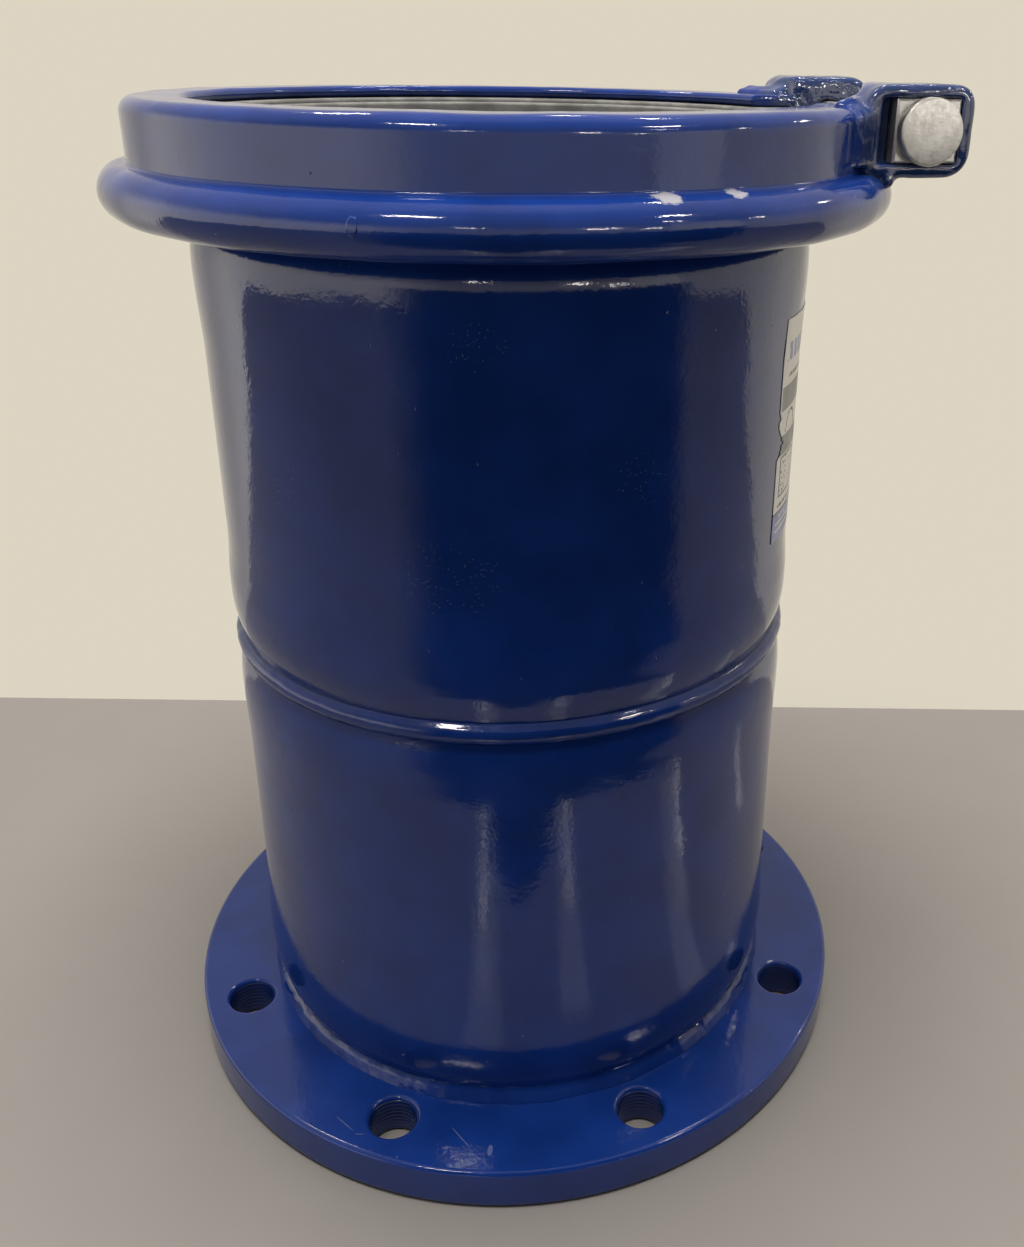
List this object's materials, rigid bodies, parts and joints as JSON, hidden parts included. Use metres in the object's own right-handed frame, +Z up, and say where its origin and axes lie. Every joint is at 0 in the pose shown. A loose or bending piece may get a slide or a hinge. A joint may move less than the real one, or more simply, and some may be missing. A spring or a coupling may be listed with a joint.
{
  "type": "flange adapter",
  "caption": "Tall blue coated steel flange adapter: a drilled flange, a welded sleeve and a split clamp ring with a bolt and gasket for a plain-ended pipe.",
  "frame": {"origin": "centre of the flange's sealing face", "axes": "+Z up the pipe's axis towards the pipe socket, +X through the gap of the clamp ring, +Y along the clamp bolt towards its nut"},
  "size_m": [0.3497, 0.3428, 0.4623],
  "materials": {
    "blue_coat": "gloss",
    "gasket_rubber": "satin",
    "zinc_plate": "satin",
    "label_film": "satin"
  },
  "bodies": {
    "adapter": {"flange": "blue_coat", "flange_outer_weld": "blue_coat", "flange_inner_weld": "blue_coat", "lower_sleeve": "blue_coat", "seam_bead": "blue_coat", "upper_sleeve": "blue_coat", "gasket": "gasket_rubber", "gasket_liner": "gasket_rubber", "label": "label_film"},
    "clamp": {"clamp_ring": "blue_coat", "bridge_plate": "blue_coat", "head_lug": "blue_coat", "nut_lug": "blue_coat", "head_lug_weld": "blue_coat", "nut_lug_weld": "blue_coat", "head_plate": "zinc_plate", "nut_plate": "zinc_plate", "clamp_bolt": "zinc_plate"},
    "washer": {"nut_washer": "zinc_plate"},
    "nut": {"clamp_nut": "zinc_plate"}
  },
  "joints": [
    {"name": "ring_swivel", "type": "hinge", "parent": "adapter", "child": "clamp", "pos_m": [0, 0, 0.419], "axis": [0, 0, 1], "continuous": true},
    {"name": "nut_travel", "type": "slide", "parent": "clamp", "child": "washer", "axis": [0, 1, 0], "range_m": [0, 0.0196]},
    {"name": "nut_spin", "type": "hinge", "parent": "washer", "child": "nut", "pos_m": [0.1585, 0.0781, 0.4448], "axis": [0, 1, 0], "range_deg": [0, 3600]}
  ],
  "couplings": [
    {"joint": "nut_travel", "follows": "nut_spin", "m_per_rad": 0.00031099}
  ]
}
